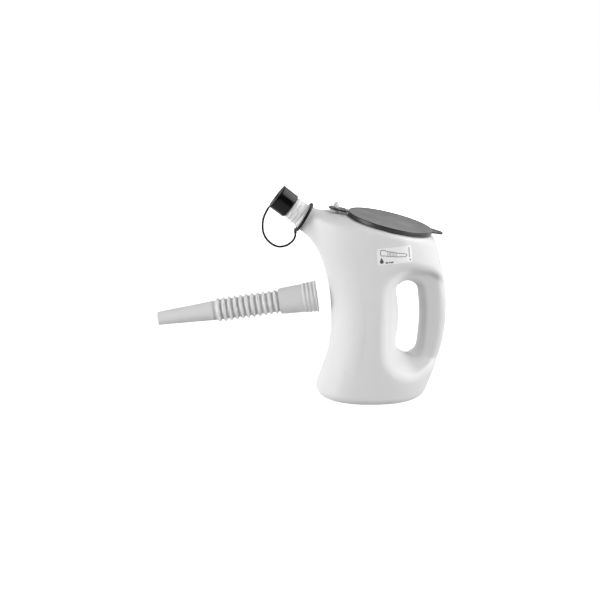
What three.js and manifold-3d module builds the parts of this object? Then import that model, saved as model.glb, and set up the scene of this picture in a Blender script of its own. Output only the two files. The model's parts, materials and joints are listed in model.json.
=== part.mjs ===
// A 2 litre measuring jug for engine fluids: a blow-moulded jug with a pinched-in hollow handle,
// a snap lid on a living hinge, a threaded neck with a tethered screw cap, and a loose flexible spout.
// Millimetres, +Z up, +X towards the handle. The origin is under the middle of the set, on the floor.
import * as THREE from 'three';
import { mergeVertices } from 'three/addons/utils/BufferGeometryUtils.js';
import Module from 'manifold-3d';

const wasm = await Module();
wasm.setup();

const { hypot, sin, cos, min, max, abs, PI, sqrt } = Math;
const degrees = (angle) => (angle * PI) / 180;

// ---- Driving dimensions -------------------------------------------------------------------

const GAP = 0.3; // clearance between neighbouring pieces
const WALL = 2.4; // jug wall
const SLIVER = 0.02; // widest sliver that is dropped

// Jug: side edges as [height, x] through which a smooth curve runs.
const SPOUT_SIDE = [[0, 19], [11, 19.3], [30, 25.8], [64, 35.4], [100, 38.6], [137, 36.4], [176, 26.7],
  [205, 15.5], [240, 8]];
const HANDLE_SIDE = [[0, 160.5], [16, 166], [43, 175.6], [75, 183.6], [110, 186.8], [150, 183.8],
  [190, 174.6], [215, 167], [240, 158]];
const HALF_DEPTH = 61;
const AXIS_X = 88; // x of the widest place at the floor
const AXIS_LEAN = 0.111; // its shift towards the handle per mm of height
const CORNER = { low: 2.2, spoutTop: 1.75, handleTop: 2 }; // superellipse exponents of the sections
const BODY_TOP = 240;
const BASE_ROUND = 10;
const FOOT = { recess: 3, inner: 0.4, outer: 0.62 }; // raised middle of the base, as shares of its size
const DECK = { z: 240.6, crown: 150, round: 3 };
const SHOULDER_ROUND = 8;

// Lid seat: a plane that falls towards the handle. Heights are from the lid's top face.
const LID = { x: 113.4, z: 229.6, tilt: degrees(13.4), radius: 55, height: 5.6, top: 1.8, skirt: 1.6 };
const SEAT_DROP = 6; // from the lid's top face to the shoulder it sits on
const MOUTH = { radius: 46.5, rim: 3, rimWall: 2.6, depth: 14 };
const PLUG = { wall: 1.6, depth: 7.2 };
const TAB = { reach: 68.7, root: 12, tip: 7, thick: 2.6 }; // pull tab, with its half-widths
const HINGE = { x: -56.3, z: -1, thick: 0.8, half: 8.5 };
const FOLDS = [-60.2, -63.9]; // ridges across the strap, beside the one on the hinge
const TONGUE = { start: -57.7, end: -80.5, half: 9, top: -0.4, thick: 2.6 }; // strap held by the stud
const STUD = { x: -71.5, pin: 2, hole: 2.4, head: 3.8, rise: 7.2, boss: 4.3, depth: 3 };

// Label on the front, on the curve of the jug.
const LABEL = { x: 114.6, z: 197, width: 43, height: 20.8, thick: 0.3, turn: degrees(5.5) };

// Handle: a dished pocket on both faces, with a finger hole through its floor.
const POCKET = { x: 126, inset: 6.5, bottom: 52.5, top: 159.5, slope: 2.4, ease: 6, edge: 8 };
const POCKET_CORNER = { bottom: 25, top: 14 };
// Below, the pocket runs out through the handle's edge.
const POCKET_OPEN = { low: 85, high: 145, reach: 25 };
const GRIP_HALF = 15;
const HOLE = { x: 138.8, bow: 2.6, middle: 103, half: 35, radius: 13.3, round: 11.5 };

// Neck: measured outwards from the tether ring.
const NECK = { x: 1.5, z: 235.1, rise: degrees(37.6), radius: 16.4, flare: 0.03, round: 8, reach: 60 };
const RING_ZONE = { inner: 8, outer: 1 }; // how far the ring's seat runs inwards and outwards
const SPOUT_THREAD = { end: 18, root: 15, narrowRoot: 14.3, ridge: 0.6, pitch: 5.8 };
const CAP_THREAD = { root: 12.9, ridge: 0.6, pitch: 5.8 };
const LIP = 36.4;
const BORE = 11.4;

// Screw cap and its tether.
const CAP = { open: 19.1, roof: 38, end: 39.6, bore: 14.1, openRadius: 16.2, endRadius: 16.4 };
const LINER = { radius: 13.6, from: 36.7, to: 37.7 };
const BUTTON = { radius: 2.2, head: 3.4, under: 41.4, top: 42.1 }; // holds the disc on the cap
const DISC = { radius: 17, from: 39.9, to: 41.1, hole: 2.6 };
const DISC_TAB = { reach: 17.7, half: 1.6 }; // where the strap meets the disc
const RING = { at: -2.8, inner: 17.75, outer: 20.2, half: 1.8, tilt: degrees(6.5) };
const RING_LUG = { x: -7.6, z: 215.3, width: 3.4, height: 6.6 };
const STRAP_DIAMETER = 2.8;
// The strap's loop from the ring to the disc, [x, z].
const STRAP_ROUTE = [[-7.4, 211.5], [-8.1, 207.8], [-9.6, 204.4], [-12.1, 201.3], [-15, 198.9],
  [-18.6, 196.8], [-24.9, 195], [-30.6, 195.3], [-36, 197.5], [-41.3, 201.6], [-44.8, 205.6],
  [-46.8, 209.2], [-48.6, 214.8], [-49.2, 222.2], [-48.5, 229.6], [-46.3, 236.6], [-44.1, 241],
  [-41.5, 245.4]];

// Spout: measured from its open, threaded end to its tip.
const SPOUT = { x: 20.5, z: 129.9, fall: degrees(8.3), wall: 1.4 };
const SOCKET = { mouth: 20.9, thread: 19.6, waist: 18.4, end: 48.3, narrow: 17, ridge: 1.1, pitch: 6.2 };
const BELLOWS = { start: 48.6, end: 133.6, shoulder: 16.4, crest: 16.2, root: 12.9, crests: 11, cuff: 1.6 };
const NOZZLE = { start: 133.9, end: 208.2, wide: 12.9, tip: 8.8 };

// ---- Solids: closed meshes, and cuts and joins between them --------------------------------

// Merges shared corners, drops collapsed faces and turns the faces outwards.
function closedGeometry(geometry) {
  const bare = new THREE.BufferGeometry();
  bare.setAttribute('position', geometry.getAttribute('position').clone());
  if (geometry.index) bare.setIndex(geometry.index.clone());
  const merged = mergeVertices(bare, 1e-4);
  const corners = merged.index.array;
  const points = merged.getAttribute('position');
  const [a, b, c] = [new THREE.Vector3(), new THREE.Vector3(), new THREE.Vector3()];
  const kept = [];
  let volume = 0;
  for (let i = 0; i < corners.length; i += 3) {
    const [p, q, r] = [corners[i], corners[i + 1], corners[i + 2]];
    if (p === q || q === r || r === p) continue;
    kept.push(p, q, r);
    a.fromBufferAttribute(points, p);
    b.fromBufferAttribute(points, q);
    c.fromBufferAttribute(points, r);
    volume += a.dot(b.cross(c));
  }
  if (volume < 0) {
    for (let i = 0; i < kept.length; i += 3) [kept[i], kept[i + 1]] = [kept[i + 1], kept[i]];
  }
  merged.setIndex(kept);
  return merged;
}

function toSolid(geometry) {
  const closed = closedGeometry(geometry);
  return new wasm.Manifold(new wasm.Mesh({
    numProp: 3,
    vertProperties: new Float32Array(closed.getAttribute('position').array),
    triVerts: new Uint32Array(closed.index.array),
  }));
}

// Drops the slivers that cuts leave, none wider than SLIVER.
function toGeometry(solid) {
  const mesh = solid.simplify(SLIVER).getMesh();
  const geometry = new THREE.BufferGeometry();
  geometry.setAttribute('position', new THREE.BufferAttribute(mesh.vertProperties, 3));
  geometry.setIndex(new THREE.BufferAttribute(mesh.triVerts, 1));
  return geometry;
}

// A profile of [radius, height] turned round +Z. It starts and ends on the axis, or is a closed loop.
function turned(profile, segments) {
  const outline = profile.map(([r, h]) => new THREE.Vector2(r, h));
  return new THREE.LatheGeometry(outline, segments).rotateX(PI / 2);
}

// A closed loop of [radius, height] turned round +Z: a tube.
const turnedLoop = (profile, segments) => turned([...profile, profile[0]], segments);

// A flat outline in X and Y, from z up to z + thick.
function plate(shape, thick, z) {
  const settings = { depth: thick, bevelEnabled: false, curveSegments: 10 };
  return new THREE.ExtrudeGeometry(shape, settings).translate(0, 0, z);
}

function piece(name, geometry, color, roughness) {
  const material = new THREE.MeshStandardMaterial({ color, roughness, metalness: 0 });
  const mesh = new THREE.Mesh(closedGeometry(geometry), material);
  mesh.name = name;
  return mesh;
}

// ---- Shape of the jug, as a distance field: negative inside ---------------------------------

const roundJoin = (a, b, r) => max(r, min(a, b)) - hypot(max(r - a, 0), max(r - b, 0));
const roundCut = (a, b, r) => min(max(a, b), -r) + hypot(max(a + r, 0), max(b + r, 0));
const mix = (a, b, t) => a + (b - a) * t;
const share = (t) => min(max(t, 0), 1);
const smoothStep = (t) => share(t) ** 2 * (3 - 2 * share(t));

// Smooth curve through [height, value] points, straight beyond its ends.
function along(points, height) {
  const last = points.length - 1;
  const slope = (i) => {
    const [before, after] = [points[max(i - 1, 0)], points[min(i + 1, last)]];
    return (after[1] - before[1]) / (after[0] - before[0]);
  };
  if (height <= points[0][0]) return points[0][1] + slope(0) * (height - points[0][0]);
  if (height >= points[last][0]) return points[last][1] + slope(last) * (height - points[last][0]);
  const i = points.findIndex((point, k) => k < last && height < points[k + 1][0]);
  const span = points[i + 1][0] - points[i][0];
  const t = (height - points[i][0]) / span;
  const bend = t * (1 - t) * span;
  const straight = mix(points[i][1], points[i + 1][1], smoothStep(t));
  return straight + bend * ((1 - t) * slope(i) - t * slope(i + 1));
}

// Distance to a superellipse with half-axes a and b.
function superellipse(x, y, a, b, power) {
  const [u, v] = [abs(x) / a, abs(y) / b];
  const q = max((u ** power + v ** power) ** (1 / power), 1e-6);
  const scale = q ** (1 - power);
  const steepness = scale * hypot(u ** (power - 1) / a, v ** (power - 1) / b);
  return (q - 1) / max(steepness, 1e-6);
}

function sideWall(x, y, z) {
  const middle = AXIS_X + AXIS_LEAN * z;
  const t = share(z / BODY_TOP);
  const spoutSide = x < middle;
  const edge = along(spoutSide ? SPOUT_SIDE : HANDLE_SIDE, z);
  const power = mix(CORNER.low, spoutSide ? CORNER.spoutTop : CORNER.handleTop, t);
  return superellipse(x - middle, y, abs(edge - middle), HALF_DEPTH, power);
}

// Height of the underside: flat on an outer ring, raised in the middle.
function underside(x, y) {
  const [low, high] = [SPOUT_SIDE[0][1], HANDLE_SIDE[0][1]];
  const q = hypot((x - (low + high) / 2) / ((high - low) / 2), y / HALF_DEPTH);
  return FOOT.recess * smoothStep((FOOT.outer - q) / (FOOT.outer - FOOT.inner));
}

// Height above the shoulder that the lid sits on, along its normal.
const aboveSeat = (x, z) => (x - LID.x) * sin(LID.tilt) + (z - LID.z) * cos(LID.tilt) + SEAT_DROP;

function mainChamber(x, y, z) {
  const deck = z - DECK.z + (y * y) / (2 * DECK.crown);
  const top = roundCut(deck, aboveSeat(x, z), DECK.round);
  const walls = roundCut(sideWall(x, y, z), top, SHOULDER_ROUND);
  return roundCut(walls, underside(x, y) - z, BASE_ROUND);
}

function pocketFloor(x, y, z) {
  const { x: edge, inset, bottom, top, slope, ease } = POCKET;
  const corner = z > (bottom + top) / 2 ? POCKET_CORNER.top : POCKET_CORNER.bottom;
  const closed = smoothStep((z - POCKET_OPEN.low) / (POCKET_OPEN.high - POCKET_OPEN.low));
  const outerEdge = along(HANDLE_SIDE, z) + mix(POCKET_OPEN.reach, -inset, closed);
  const across = max(edge + corner - x, x - outerEdge + corner, 0);
  const up = max(abs(z - (bottom + top) / 2) - (top - bottom) / 2 + corner, 0);
  const outside = max(hypot(across, up) - corner, 0);
  const rise = outside < ease ? (outside * outside) / (2 * ease) : outside - ease / 2;
  const steepness = sqrt(1 + slope * slope * min(outside / ease, 1));
  return (abs(y) - GRIP_HALF - slope * rise) / steepness;
}

function fingerHole(x, z) {
  const height = min(max(z, HOLE.middle - HOLE.half), HOLE.middle + HOLE.half);
  const middle = HOLE.x - HOLE.bow * ((height - HOLE.middle) / HOLE.half) ** 2;
  return hypot(x - middle, z - height) - HOLE.radius;
}

// Distance out along the neck, from the tether ring, and distance from the neck's axis.
function neckPlace(x, y, z) {
  const out = -(x - NECK.x) * cos(NECK.rise) + (z - NECK.z) * sin(NECK.rise);
  const across = (x - NECK.x) * sin(NECK.rise) + (z - NECK.z) * cos(NECK.rise);
  return [out, hypot(across, y)];
}

function neckRoot(x, y, z) {
  const [out, radius] = neckPlace(x, y, z);
  return max(radius - NECK.radius - NECK.flare * max(-out - RING_ZONE.inner, 0), out - RING_ZONE.outer,
    -out - NECK.reach);
}

function jugField(x, y, z) {
  const pinched = roundCut(mainChamber(x, y, z), pocketFloor(x, y, z), POCKET.edge);
  const body = roundCut(pinched, -fingerHole(x, z), HOLE.round);
  return roundJoin(body, neckRoot(x, y, z), NECK.round);
}

// ---- Surface of a field ---------------------------------------------------------------------

// Moves a point onto the surface where the field is zero.
function settle(point, field) {
  const h = 0.05;
  for (let step = 0; step < 6; step += 1) {
    const [x, y, z] = point;
    const value = field(x, y, z);
    const slope = [
      (field(x + h, y, z) - field(x - h, y, z)) / (2 * h),
      (field(x, y + h, z) - field(x, y - h, z)) / (2 * h),
      (field(x, y, z + h) - field(x, y, z - h)) / (2 * h),
    ];
    const steep = max(slope[0] ** 2 + slope[1] ** 2 + slope[2] ** 2, 0.05);
    for (let k = 0; k < 3; k += 1) point[k] -= (value * slope[k]) / steep;
  }
  return point;
}

// One vertex in each cell that the surface crosses, and one quad for each crossed cell edge.
function surfaceOf(field, cell, low, high) {
  const count = low.map((v, k) => Math.ceil((high[k] - v) / cell) + 1);
  const strides = [1, count[0], count[0] * count[1]];
  const place = (n, k) => low[k] + (Math.floor(n / strides[k]) % count[k]) * cell;
  const values = new Float64Array(count[0] * count[1] * count[2]);
  for (let n = 0; n < values.length; n += 1) values[n] = field(place(n, 0), place(n, 1), place(n, 2));
  const inside = (n) => values[n] < 0;
  const corner = (n, c) => n + (c & 1) * strides[0] + ((c >> 1) & 1) * strides[1] + (c >> 2) * strides[2];

  const vertexOf = new Map();
  const points = [];
  const cellOf = (i, j, k) => i + j * strides[1] + k * strides[2];
  for (let k = 0; k < count[2] - 1; k += 1) {
    for (let j = 0; j < count[1] - 1; j += 1) {
      for (let i = 0; i < count[0] - 1; i += 1) {
        const n = cellOf(i, j, k);
        const sum = [0, 0, 0];
        let crossings = 0;
        for (let c = 0; c < 8; c += 1) {
          for (let axis = 0; axis < 3; axis += 1) {
            if (c & (1 << axis)) continue;
            const [a, b] = [corner(n, c), corner(n, c | (1 << axis))];
            if (inside(a) === inside(b)) continue;
            const t = values[a] / (values[a] - values[b]);
            for (let d = 0; d < 3; d += 1) sum[d] += mix(place(a, d), place(b, d), t);
            crossings += 1;
          }
        }
        if (!crossings) continue;
        vertexOf.set(n, points.length);
        points.push(settle(sum.map((v) => v / crossings), field));
      }
    }
  }

  const quads = [];
  for (let k = 1; k < count[2] - 1; k += 1) {
    for (let j = 1; j < count[1] - 1; j += 1) {
      for (let i = 1; i < count[0] - 1; i += 1) {
        const n = cellOf(i, j, k);
        for (let axis = 0; axis < 3; axis += 1) {
          const next = n + strides[axis];
          if (inside(n) === inside(next)) continue;
          const [u, v] = [strides[(axis + 1) % 3], strides[(axis + 2) % 3]];
          const around = [n - u - v, n - v, n, n - u].map((m) => vertexOf.get(m));
          quads.push(inside(n) ? around : around.reverse());
        }
      }
    }
  }
  return relaxed(points, quads, field);
}

// Evens out the vertices along the surface, then splits each quad along its shorter diagonal.
function relaxed(points, quads, field) {
  for (let round = 0; round < 2; round += 1) {
    const sums = points.map(() => [0, 0, 0, 0]);
    for (const quad of quads) {
      quad.forEach((p, k) => {
        const next = quad[(k + 1) % 4];
        for (const [a, b] of [[p, next], [next, p]]) {
          for (let d = 0; d < 3; d += 1) sums[a][d] += points[b][d];
          sums[a][3] += 1;
        }
      });
    }
    points = points.map((p, n) => settle(p.map((v, d) => mix(v, sums[n][d] / sums[n][3], 0.5)), field));
  }
  const span = (a, b) => hypot(...points[a].map((v, d) => v - points[b][d]));
  const corners = quads.flatMap(([a, b, c, d]) => (
    span(a, c) < span(b, d) ? [a, b, c, a, c, d] : [a, b, d, b, c, d]
  ));
  const geometry = new THREE.BufferGeometry();
  geometry.setAttribute('position', new THREE.Float32BufferAttribute(points.flat(), 3));
  geometry.setIndex(corners);
  return geometry;
}

// ---- Jug ------------------------------------------------------------------------------------

// Places a geometry made along +Z on the neck, with z = 0 at the tether ring.
const onNeck = (geometry) => geometry.rotateY(NECK.rise - PI / 2).translate(NECK.x, 0, NECK.z);

// Places a geometry made flat on the lid's top face, with z = 0 at that face.
const onSeat = (geometry) => geometry.rotateY(LID.tilt).translate(LID.x, 0, LID.z);

// Ridges of a thread as [radius, distance] points between two ends, on a tapering root.
function ridges(from, to, rootFrom, rootTo, ridge, pitch) {
  const turns = Math.floor((to - from) / pitch);
  const points = [];
  for (let n = 0; n < turns; n += 1) {
    const root = mix(rootFrom, rootTo, (n + 0.5) / turns);
    const at = mix(from, to, (n + 0.5) / turns);
    points.push([root, at - 1.6], [root + ridge, at - 0.6], [root + ridge, at + 0.6], [root, at + 1.6]);
  }
  return points;
}

function neckFinish() {
  const { end, root, narrowRoot, ridge, pitch } = SPOUT_THREAD;
  return onNeck(turned([
    [0, -8], [NECK.radius, -8], [NECK.radius, RING_ZONE.outer], [root, RING_ZONE.outer + 1],
    ...ridges(RING_ZONE.outer + 1, end, root, narrowRoot, ridge, pitch),
    [narrowRoot, end], [CAP_THREAD.root, end + 0.8],
    ...ridges(end + 1.6, LIP - 1.4, CAP_THREAD.root, CAP_THREAD.root, CAP_THREAD.ridge, CAP_THREAD.pitch),
    [CAP_THREAD.root, LIP - 0.8], [CAP_THREAD.root - 0.8, LIP], [0, LIP],
  ], 28));
}

// Turned pieces of the lid seat: [radius, height above the lid's top face].
function mouthRim() {
  const [bottom, top] = [-SEAT_DROP - 1.2, MOUTH.rim - SEAT_DROP];
  const [inner, outer] = [MOUTH.radius - 1, MOUTH.radius + MOUTH.rimWall];
  return onSeat(turnedLoop([[inner, bottom], [outer, bottom], [outer, top], [inner, top]], 48));
}

function mouthCut() {
  const depth = -MOUTH.depth;
  return onSeat(turned([[0, depth], [MOUTH.radius, depth], [MOUTH.radius, 4], [0, 4]], 48));
}

const rod = (radius, from, to, segments) => turned([[0, from], [radius, from], [radius, to], [0, to]], segments);

function jugBody() {
  const [low, high] = [[-38, -76.5, -16], [206, 76.5, 262]];
  const hollow = (x, y, z) => jugField(x, y, z) + WALL;
  const shelf = TONGUE.top - TONGUE.thick - GAP;
  const boss = onSeat(rod(STUD.boss, shelf - 8, shelf, 16).translate(STUD.x, 0, 0));
  const pinHole = onSeat(rod(STUD.hole, shelf - STUD.depth - GAP, shelf + 1, 12).translate(STUD.x, 0, 0));
  const bore = onNeck(rod(BORE, -WALL - 12, LIP + 2, 24));
  const shell = [neckFinish(), mouthRim(), boss].map(toSolid)
    .reduce((whole, part) => whole.add(part), toSolid(surfaceOf(jugField, 10, low, high)))
    .subtract(toSolid(surfaceOf(hollow, 12, low, high)));
  const open = [mouthCut(), bore, pinHole].map(toSolid).reduce((whole, cut) => whole.subtract(cut), shell);
  return piece('jug_body', toGeometry(open), 0xf3f3f1, 0.45);
}

// A thin sticker that follows the front of the jug.
function levelLabel() {
  const frontAt = (x, z) => {
    let [outside, inside] = [-HALF_DEPTH - 10, -GRIP_HALF];
    for (let step = 0; step < 30; step += 1) {
      const y = (outside + inside) / 2;
      if (jugField(x, y, z) > 0) outside = y;
      else inside = y;
    }
    return inside;
  };
  const sheet = new THREE.BoxGeometry(LABEL.width, LABEL.height, LABEL.thick, 8, 4, 1);
  const points = sheet.getAttribute('position');
  for (let n = 0; n < points.count; n += 1) {
    const [u, v, w] = [points.getX(n), points.getY(n), points.getZ(n)];
    const x = LABEL.x + u * cos(LABEL.turn) - v * sin(LABEL.turn);
    const z = LABEL.z + u * sin(LABEL.turn) + v * cos(LABEL.turn);
    points.setXYZ(n, x, frontAt(x, z) - GAP - LABEL.thick / 2 - w, z);
  }
  return piece('level_label', sheet, 0xdadada, 0.5);
}

// ---- Lid, its hinge and the stud that holds its strap, made flat and laid on the seat -------

function lid() {
  const { radius, height, top, skirt } = LID;
  const plug = MOUTH.radius - 0.4;
  const cover = toSolid(turned([
    [0, -top], [plug - PLUG.wall, -top], [plug - PLUG.wall, -PLUG.depth], [plug, -PLUG.depth],
    [plug, -top], [radius - skirt, -top], [radius - skirt, -height], [radius, -height],
    [radius, -1], [radius - 1, 0], [0, 0],
  ], 48));
  const outline = new THREE.Shape();
  outline.moveTo(radius - 1.2, -TAB.root);
  outline.lineTo(TAB.reach - TAB.tip, -TAB.tip);
  outline.absarc(TAB.reach - TAB.tip, 0, TAB.tip, -PI / 2, PI / 2);
  outline.lineTo(radius - 1.2, TAB.root);
  const tab = toSolid(plate(outline, TAB.thick, -TAB.thick - 0.2));
  return piece('lid', onSeat(toGeometry(cover.add(tab))), 0x3a3b3d, 0.5);
}

// A low ridge across the hinge or its strap, at x.
const fold = (x, half) => rod(0.9, -half, half, 10).rotateX(PI / 2).translate(x, 0, 0);

// The living hinge: a thin web with a fold along its top.
function lidHinge() {
  const [left, right] = [TONGUE.start + GAP, -LID.radius - GAP];
  const web = new THREE.BoxGeometry(right - left, 2 * HINGE.half, HINGE.thick);
  web.translate((left + right) / 2, 0, HINGE.z - HINGE.thick);
  const joined = toSolid(web).add(toSolid(fold(HINGE.x, HINGE.half - 0.3).translate(0, 0, HINGE.z)));
  return piece('lid_hinge_web', onSeat(toGeometry(joined)), 0x2c2d2f, 0.5);
}

function lidStrap() {
  const { start, end, half, top, thick } = TONGUE;
  const outline = new THREE.Shape();
  outline.moveTo(start, -half);
  outline.lineTo(start, half);
  outline.lineTo(end + half, half);
  outline.absarc(end + half, 0, half, PI / 2, 1.5 * PI);
  const hole = rod(STUD.hole, top - thick - 1, top + 1, 12).translate(STUD.x, 0, 0);
  const strap = FOLDS.reduce(
    (whole, x) => whole.add(toSolid(fold(x, half - 0.5).translate(0, 0, top))),
    toSolid(plate(outline, thick, top - thick)).subtract(toSolid(hole)),
  );
  return piece('lid_strap', onSeat(toGeometry(strap)), 0x2c2d2f, 0.5);
}

function strapStud() {
  const under = TONGUE.top + GAP;
  const foot = TONGUE.top - TONGUE.thick - STUD.depth;
  const profile = [
    [0, foot], [STUD.pin, foot], [STUD.pin, under], [STUD.head, under], [STUD.head, under + 2],
    [STUD.head * 0.8, under + 4.2], [STUD.head * 0.4, TONGUE.top + STUD.rise], [0, TONGUE.top + STUD.rise],
  ];
  return piece('strap_stud', onSeat(turned(profile, 16).translate(STUD.x, 0, 0)), 0xc9c9c7, 0.5);
}

// ---- Screw cap and tether, made along the neck ----------------------------------------------

function screwCap() {
  const { open, roof, end, bore, openRadius, endRadius } = CAP;
  const { radius, head, under, top } = BUTTON;
  return piece('screw_cap', onNeck(turned([
    [0, roof], [bore, roof], [bore, open], [openRadius, open], [endRadius, end - 1], [endRadius - 1, end],
    [radius, end], [radius, under], [head, under], [head, top], [0, top],
  ], 28)), 0x1d1d1f, 0.45);
}

function capLiner() {
  return piece('cap_liner', onNeck(rod(LINER.radius, LINER.from, LINER.to, 24)), 0xd8d4c8, 0.8);
}

function tetherDisc() {
  const { radius, from, to, hole } = DISC;
  const disc = toSolid(turnedLoop([[hole, from], [radius, from], [radius, to], [hole, to]], 28));
  const tab = new THREE.BoxGeometry(DISC_TAB.reach - radius + 2, 2 * DISC_TAB.half, to - from);
  tab.translate(-(DISC_TAB.reach + radius - 2) / 2, 0, (from + to) / 2);
  return piece('tether_disc', onNeck(toGeometry(disc.add(toSolid(tab)))), 0x202022, 0.55);
}

function tetherRing() {
  const { at, inner, outer, half, tilt } = RING;
  const profile = [[inner, -half + 0.7], [inner + 0.6, -half], [outer - 0.6, -half], [outer, -half + 0.7],
    [outer, half - 0.7], [outer - 0.6, half], [inner + 0.6, half], [inner, half - 0.7]];
  const ring = toSolid(onNeck(turnedLoop(profile, 28).rotateY(-tilt).translate(0, 0, at)));
  const lug = new THREE.BoxGeometry(RING_LUG.width, RING_LUG.width, RING_LUG.height);
  lug.translate(RING_LUG.x, 0, RING_LUG.z);
  return piece('tether_ring', toGeometry(ring.add(toSolid(lug))), 0x202022, 0.55);
}

function tetherStrap() {
  const route = new THREE.CatmullRomCurve3(STRAP_ROUTE.map(([x, z]) => new THREE.Vector3(x, 0, z)));
  const section = new THREE.Shape();
  section.absarc(0, 0, STRAP_DIAMETER / 2, 0, 2 * PI);
  const steps = Math.round(route.getLength() / (2.5 * STRAP_DIAMETER));
  const settings = { steps, extrudePath: route, bevelEnabled: false, curveSegments: 4 };
  return piece('tether_strap', new THREE.ExtrudeGeometry(section, settings), 0x202022, 0.55);
}

// ---- Spout, made along +Z from its open end and laid on its falling axis --------------------

const onSpout = (geometry) => geometry.rotateY(-PI / 2 - SPOUT.fall).translate(SPOUT.x, 0, SPOUT.z);

function spoutSocket() {
  const { mouth, thread, waist, end, narrow, ridge, pitch } = SOCKET;
  const { wall } = SPOUT;
  const shoulder = 3 * pitch + 0.6;
  return piece('spout_socket', onSpout(turnedLoop([
    [mouth - wall, 0], [mouth, 0], [mouth, 2.2], [thread, 2.8],
    ...ridges(3, shoulder, thread, waist, ridge, pitch - 1),
    [waist, shoulder + 1], [narrow, end], [narrow - wall, end], [waist - wall, shoulder + 1],
    [thread - wall, 3],
  ], 20)), 0xeeeeec, 0.45);
}

function spoutBellows() {
  const { start, end, shoulder, crest, root, crests, cuff } = BELLOWS;
  const pitch = (end - start - 2 * cuff) / crests;
  const { wall } = SPOUT;
  const outside = [[shoulder, start]];
  for (let n = 0; n < crests; n += 1) {
    const at = start + cuff + n * pitch;
    outside.push([root, at], [crest, at + pitch / 2]);
  }
  outside.push([root, end - cuff], [NOZZLE.wide, end]);
  const inside = outside.map(([radius, at]) => [radius - wall, at]).reverse();
  return piece('spout_bellows', onSpout(turnedLoop([...outside, ...inside], 18)), 0xeeeeec, 0.45);
}

function spoutNozzle() {
  const { start, end, wide, tip } = NOZZLE;
  const { wall } = SPOUT;
  return piece('spout_nozzle', onSpout(turnedLoop([
    [wide, start], [wide, start + 3], [tip, end], [tip - wall, end], [wide - wall, start + 3],
    [wide - wall, start],
  ], 24)), 0xeeeeec, 0.45);
}

// ---- The set --------------------------------------------------------------------------------

const jug = new THREE.Group();
jug.add(jugBody(), levelLabel(), lid(), lidHinge(), lidStrap(), strapStud());

const closure = new THREE.Group();
closure.add(screwCap(), capLiner(), tetherRing(), tetherStrap(), tetherDisc());

const spout = new THREE.Group();
spout.add(spoutSocket(), spoutBellows(), spoutNozzle());

const set = new THREE.Group();
set.add(jug, closure, spout);

export default set;
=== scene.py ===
"""A 2 litre measuring jug with a hinged lid, a tethered screw cap and a loose bending spout.

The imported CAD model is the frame. Every visible piece is made here around it, in millimetres, and
turned into metres when its mesh is made. Fields are distances: negative inside, zero on the surface.
"""

import json
from math import cos, pi, radians, sin, tau

import bmesh
import bpy
import numpy as np
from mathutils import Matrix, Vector


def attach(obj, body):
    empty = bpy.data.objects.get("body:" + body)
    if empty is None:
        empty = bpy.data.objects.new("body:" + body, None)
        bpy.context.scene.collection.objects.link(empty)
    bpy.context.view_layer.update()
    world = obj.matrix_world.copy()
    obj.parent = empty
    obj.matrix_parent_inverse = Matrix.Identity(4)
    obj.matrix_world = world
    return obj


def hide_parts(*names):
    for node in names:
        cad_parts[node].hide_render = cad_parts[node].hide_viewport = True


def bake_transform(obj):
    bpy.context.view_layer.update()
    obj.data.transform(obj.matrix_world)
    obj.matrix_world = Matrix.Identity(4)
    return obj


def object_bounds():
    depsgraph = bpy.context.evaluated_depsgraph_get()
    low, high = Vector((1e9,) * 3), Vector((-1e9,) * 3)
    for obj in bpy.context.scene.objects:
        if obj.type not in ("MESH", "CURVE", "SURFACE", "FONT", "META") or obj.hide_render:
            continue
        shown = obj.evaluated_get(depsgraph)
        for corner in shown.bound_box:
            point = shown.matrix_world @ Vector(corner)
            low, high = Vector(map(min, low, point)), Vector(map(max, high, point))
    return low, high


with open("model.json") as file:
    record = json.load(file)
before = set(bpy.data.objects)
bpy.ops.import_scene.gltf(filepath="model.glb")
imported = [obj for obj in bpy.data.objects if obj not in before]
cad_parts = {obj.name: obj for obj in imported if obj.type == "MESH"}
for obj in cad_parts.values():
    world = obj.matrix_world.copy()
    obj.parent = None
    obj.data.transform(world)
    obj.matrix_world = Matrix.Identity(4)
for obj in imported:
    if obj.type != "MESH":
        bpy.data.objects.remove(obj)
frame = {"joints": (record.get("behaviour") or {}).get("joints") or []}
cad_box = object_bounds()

MM = 0.001
joints = {joint["name"]: joint for joint in frame["joints"]}


# ---- Driving dimensions, in millimetres --------------------------------------------------------

WALL = 2.4
SPOUT_SIDE = [(0, 19), (11, 19.3), (30, 25.8), (64, 35.4), (100, 38.6), (137, 36.4), (176, 26.7),
              (205, 15.5), (240, 8)]
HANDLE_SIDE = [(0, 160.5), (16, 166), (43, 175.6), (75, 183.6), (110, 186.8), (150, 183.8),
               (190, 174.6), (215, 167), (240, 158)]
HALF_DEPTH = 61
AXIS_X, AXIS_LEAN = 88, 0.111
CORNER_LOW, CORNER_SPOUT, CORNER_HANDLE = 2.2, 1.75, 2.0
BODY_TOP = 240
BASE_ROUND, SHOULDER_ROUND = 10, 8
FOOT_RECESS, FOOT_INNER, FOOT_OUTER = 3, 0.4, 0.62
DECK_Z, DECK_CROWN, DECK_ROUND = 240.6, 150, 3

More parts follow.
